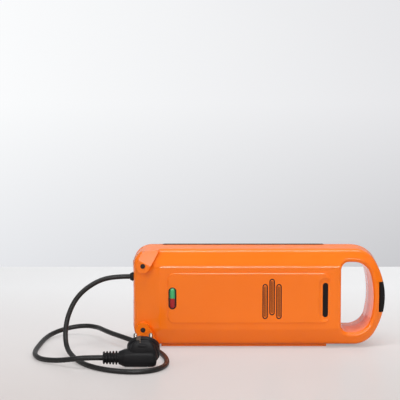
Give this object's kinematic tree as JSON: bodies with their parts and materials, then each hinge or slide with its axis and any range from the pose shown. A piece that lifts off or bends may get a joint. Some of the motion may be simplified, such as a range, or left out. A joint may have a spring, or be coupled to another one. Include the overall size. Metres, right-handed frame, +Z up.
{
  "type": "fluted dough stick maker",
  "caption": "Electric clamshell maker for fluted dough sticks, upright on its long side, with loop handle, snap latch, fluted plates and mains cord.",
  "frame": {"origin": "middle of the footprint of the appliance, on the surface it stands on", "axes": "+X from the hinge end to the handle, +Y from the front half to the rear half, +Z up across the width"},
  "size_m": [0.4662, 0.2579, 0.135],
  "materials": {
    "orange_gloss": "gloss",
    "nonstick": "satin",
    "steel": "satin",
    "black_plastic": "satin",
    "black_rubber": "matte",
    "green_lens": "gloss",
    "red_lens": "gloss",
    "board": "satin",
    "cord_sheath": "satin",
    "plug_black": "satin",
    "nickel": "polished"
  },
  "bodies": {
    "front_half": {"front_shell": "orange_gloss", "front_plate": "nonstick", "front_plate_screws": "steel", "front_heater": "steel", "hinge_pins": "steel", "latch_pin": "steel", "indicator_bezel": "black_plastic", "ready_lens": "green_lens", "power_lens": "red_lens", "lamp_board": "board", "vent_insert": "black_plastic", "corner_buffers": "black_rubber", "thermostat_bracket": "steel", "thermostat": "board", "thermal_fuse": "steel", "terminal_block": "board", "cord_gland": "black_rubber", "power_cord": "cord_sheath", "plug_relief": "plug_black", "plug_body": "plug_black", "plug_pins": "nickel", "earth_clips": "nickel"},
    "rear_half": {"rear_shell": "orange_gloss", "rear_plate": "nonstick", "rear_plate_screws": "steel", "rear_heater": "steel", "rear_feet": "black_rubber"},
    "latch": {"latch": "black_plastic"}
  },
  "joints": [
    {"name": "hinge", "type": "hinge", "parent": "front_half", "child": "rear_half", "pos_m": [-0.1645, 0, 0.0675], "axis": [0, 0, 1], "range_deg": [0, 90]},
    {"name": "latch_pivot", "type": "hinge", "parent": "front_half", "child": "latch", "pos_m": [0.1615, -0.031, 0.0675], "axis": [0, 0, -1], "range_deg": [0, 35]}
  ]
}
